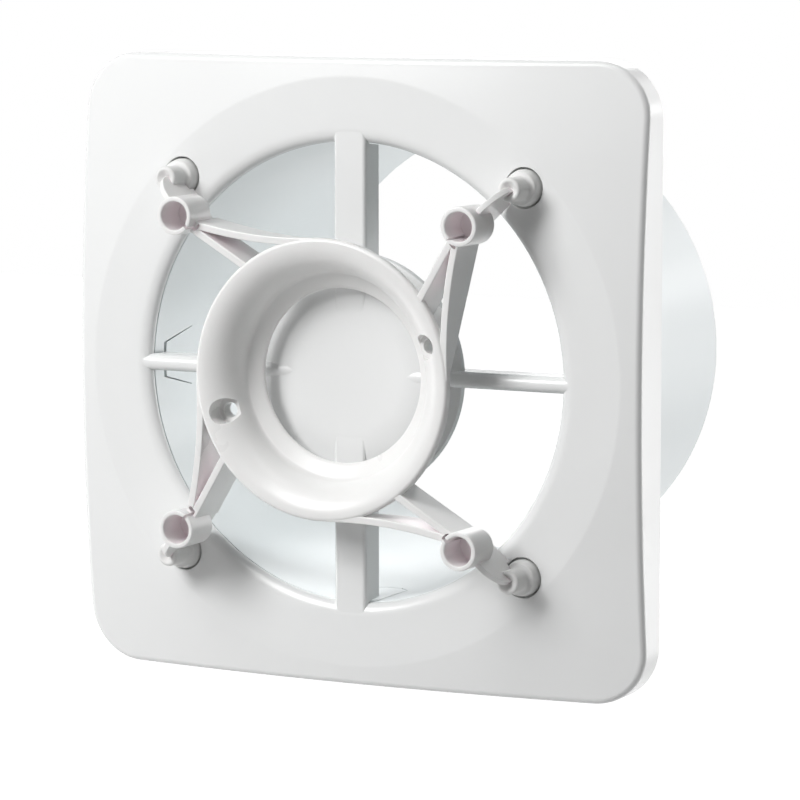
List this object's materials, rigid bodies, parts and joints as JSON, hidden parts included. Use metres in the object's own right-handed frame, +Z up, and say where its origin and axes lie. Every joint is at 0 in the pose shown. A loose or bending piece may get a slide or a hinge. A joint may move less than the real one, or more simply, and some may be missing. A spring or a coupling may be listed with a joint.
{
  "type": "bathroom extractor fan",
  "caption": "Square domed wall plate with a rear duct spigot and an open spoked throat, and a pull-off funnel carrier whose sockets take a front panel.",
  "frame": {"origin": "on the duct's axis, in the plane of the wall that the plate's rim rests on", "axes": "+Y into the wall along the duct, -Y out of the plate's front, +Z up along the plate's wide bar"},
  "size_m": [0.128, 0.0919, 0.128],
  "materials": {
    "plate_white": "glossy white moulding",
    "tube_white": "semi-gloss, slightly bluish white",
    "carrier_white": "semi-gloss, slightly warm white",
    "bush_grey": "soft, matt, off-white"
  },
  "bodies": {
    "body": {"wall_plate": "plate_white", "duct_tube": "tube_white", "bush_upper_left": "bush_grey", "bush_upper_right": "bush_grey", "bush_lower_left": "bush_grey", "bush_lower_right": "bush_grey"},
    "carrier": {"panel_carrier": "carrier_white"}
  },
  "joints": [
    {"name": "carrier_pull", "type": "slide", "parent": "body", "child": "carrier", "axis": [0, -1, 0], "range_m": [0, 0.03]}
  ]
}
